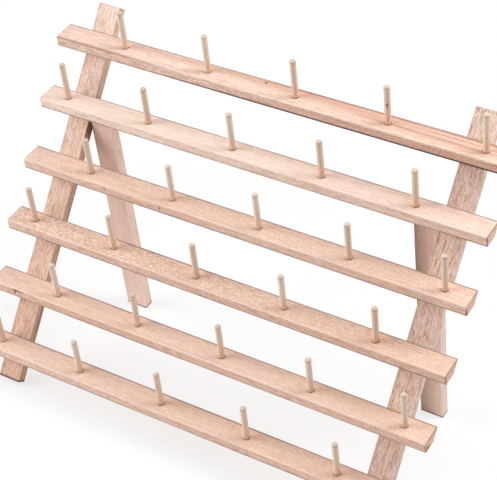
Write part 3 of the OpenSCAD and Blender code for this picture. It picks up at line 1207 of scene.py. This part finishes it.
def make_pegs():
    tip = arc((peg_r - PEG_TIP_ROUND, peg_h - PEG_TIP_ROUND), PEG_TIP_ROUND, 0, 90)
    outline = [(0, -peg_tenon), (peg_r - EASED, -peg_tenon), (peg_r, EASED - peg_tenon), *tip, (0, peg_h)]
    mesh = turned("pegs", outline)
    points = np.array([vertex.co for vertex in mesh.vertices])
    stamp(mesh, "grain", points[:, [2, 0, 1]])
    thing = new_object("pegs", mesh)
    grow(thing, peg_tree(DOWEL), **PEG_PLACES)
    settle(thing)
    add_piece(thing, "rack", "peg_wood", *PEGS)


def cross_screws(name, screw, head, pitch, recess, spots):
    """Screws of one kind, at their places."""
    thing = new_object(name, wood_screw(name, screw, head, pitch))
    grow(thing, SCREW_ROWS, **recess, **spots)
    return settle(thing)


def make_rail_screws():
    head = countersunk_head(rail_screw)
    thing = cross_screws("countersunk_screws", rail_screw, head, RAIL_SCREW_PITCH, RAIL_RECESS, SCREW_PLACES)
    add_piece(thing, "rack", "screw_steel", "rail_screws")


def sawn_blank(name, node):
    """A board as sawn: the hull of its CAD solid, without the holes."""
    mesh = bmesh.new()
    for point in np.unique(np.round(node_points(node), decimals=6), axis=0):
        mesh.verts.new(point)
    hull = bmesh.ops.convex_hull(mesh, input=mesh.verts)
    inside = hull["geom_interior"] + hull["geom_unused"]
    spare = {item for item in inside if isinstance(item, bmesh.types.BMVert)}
    bmesh.ops.delete(mesh, geom=list(spare), context="VERTS")
    bmesh.ops.dissolve_limit(mesh, angle_limit=SAWN_FLAT_ANGLE, verts=mesh.verts, edges=mesh.edges)
    bmesh.ops.recalc_face_normals(mesh, faces=mesh.faces)
    return new_object(name, as_mesh(mesh, name))


def make_leg(name, node, body, screwed):
    side = node.rsplit("_", 1)[1]
    screw = pivot_screws[side]
    thing = sawn_blank(name, node)
    ease(thing)
    if screwed:
        seat_screws(thing)
    middle = screw.top - screw.facing * (screw.length / 2)
    grow(thing, BORE, Middle=middle, Radius=screw.shank_r + SEAT_PLAY, Length=screw.length)
    settle(thing)
    stamp_boards(thing, [node])
    add_piece(thing, body, "beech", node)


def make_pivot(side):
    """A back leg's round-head screw and the washer between the legs."""
    body = f"back_leg_{side}"
    screw = pivot_screws[side]
    name = f"round_head_screw_{side}"
    spot = row_places(screw.facing, screw.top)
    thing = cross_screws(name, screw, round_head(screw), PIVOT_SCREW_PITCH, PIVOT_RECESS, spot)
    add_piece(thing, body, "screw_steel", f"pivot_screw_{side}")

    ring = node_points(f"pivot_washer_{side}") - np.array(pivots[side])
    away = np.hypot(ring[:, 1], ring[:, 2])
    inner, outer = away.min(), away.max()
    thickness = np.ptp(ring[:, 0])
    low, high = EASED, thickness - EASED
    outline = [(outer - EASED, 0), (outer, low), (outer, high), (outer - EASED, thickness)]
    outline += [(inner + EASED, thickness), (inner, high), (inner, low), (inner + EASED, 0)]
    mesh = turned(f"washer_{side}", outline, closed=True)
    spot = pivots[side] + X_AXIS * float(ring[:, 0].min())
    mesh.transform(Matrix.Translation(spot) @ Matrix.Rotation(math.pi / 2, 4, "Y"))
    mesh.materials.append(STEEL)
    add_piece(new_object(f"washer_{side}", mesh), body, "screw_steel", f"pivot_washer_{side}")


make_rails()
make_pegs()
make_rail_screws()
for side in SIDES:
    make_leg(f"front_strip_{side}", f"front_leg_{side}", "rack", screwed=True)
    make_leg(f"back_strip_{side}", f"back_leg_{side}", f"back_leg_{side}", screwed=False)
    make_pivot(side)


# Floor, light and camera

FLOOR = srgb(247, 247, 247)
FLOOR_SHADE = Span(0.22, 0.5, 0.32, 0.0)
FLOOR_GLOW = Span(0.22, 0.5, 0.68, 1.0)
FLOOR_RADIUS = 4.0
FLOOR_SIDES = 96
ROOM_LIGHT = Span(0.0, 1.0, 0.18, 1.0)


def seen_directly(graph):
    """One where the camera, a reflection or a view through glass meets the surface."""
    ray = graph.node("ShaderNodeLightPath").outputs
    either = graph.math("MAXIMUM", ray["Is Camera Ray"], ray["Is Glossy Ray"])
    return graph.math("MAXIMUM", either, ray["Is Transmission Ray"])


def add_floor():
    """A pale floor that keeps a soft shadow near the rack and turns white further out."""
    material = bpy.data.materials.new("pale_floor")
    graph = bare_graph(material)
    away = graph.vector("LENGTH", graph.object_place())
    grey = graph.rise(away, FLOOR_SHADE)
    light = graph.rise(away, FLOOR_GLOW)
    bounce = graph.made("ShaderNodeBsdfDiffuse", Color=FLOOR)
    shaded = graph.made("ShaderNodeBsdfDiffuse", Color=graph.combine(grey, grey, grey))
    glow = graph.made("ShaderNodeEmission", Color=WHITE, Strength=light)
    shown = graph.fed("ShaderNodeAddShader", None, shaded, glow)[0]
    mixed = graph.fed("ShaderNodeMixShader", None, seen_directly(graph), bounce, shown)[0]
    graph.node("ShaderNodeOutputMaterial", Surface=mixed)
    mesh = bmesh.new()
    bmesh.ops.create_circle(mesh, cap_ends=True, segments=FLOOR_SIDES, radius=FLOOR_RADIUS)
    floor = new_object("floor", as_mesh(mesh, "floor"))
    floor.data.materials.append(material)
    floor.location.z = cad_box[0].z


def add_room():
    """An even white room: white to look at, and dimmer as a light."""
    world = bpy.data.worlds.new("white_room")
    graph = bare_graph(world)
    strength = graph.rise(seen_directly(graph), ROOM_LIGHT)
    background = graph.made("ShaderNodeBackground", Color=WHITE, Strength=strength)
    graph.node("ShaderNodeOutputWorld", Surface=background)
    bpy.context.scene.world = world


def outwards(azimuth, elevation):
    """The direction from the rack to a place round it: azimuth 0 is in front of it."""
    level = math.cos(elevation)
    return Vector((math.sin(azimuth) * level, -math.cos(azimuth) * level, math.sin(elevation)))


def add_softbox(name, azimuth, elevation, distance, size, power):
    lamp = bpy.data.lights.new(name, "AREA")
    lamp.shape = "SQUARE"
    lamp.size = size
    lamp.energy = power
    box = new_object(name, lamp)
    way = outwards(math.radians(azimuth), math.radians(elevation))
    box.location = VIEW_POINT + way * distance
    box.rotation_mode = "QUATERNION"
    box.rotation_quaternion = (-way).to_track_quat("-Z", "Y")


def add_camera():
    lens = bpy.data.cameras.new("camera")
    lens.lens = VIEW_LENS_MM
    lens.sensor_width = SENSOR_MM
    camera = new_object("camera", lens)
    way = outwards(VIEW_AZIMUTH, VIEW_ELEVATION)
    level = (-way).to_track_quat("-Z", "Y").to_matrix().to_4x4()
    roll = Matrix.Rotation(VIEW_ROLL, 4, "Z")
    camera.matrix_world = Matrix.Translation(VIEW_POINT + way * VIEW_DISTANCE) @ level @ roll
    bpy.context.scene.camera = camera


add_floor()
add_room()
add_softbox("left_softbox", azimuth=-56, elevation=22, distance=1.8, size=1.35, power=26.2)
add_softbox("right_softbox", azimuth=112, elevation=42, distance=1.2, size=0.5, power=7.3)
add_softbox("top_softbox", azimuth=90, elevation=78, distance=1.2, size=0.8, power=6.1)
add_camera()
bpy.context.scene.view_settings.view_transform = "Standard"
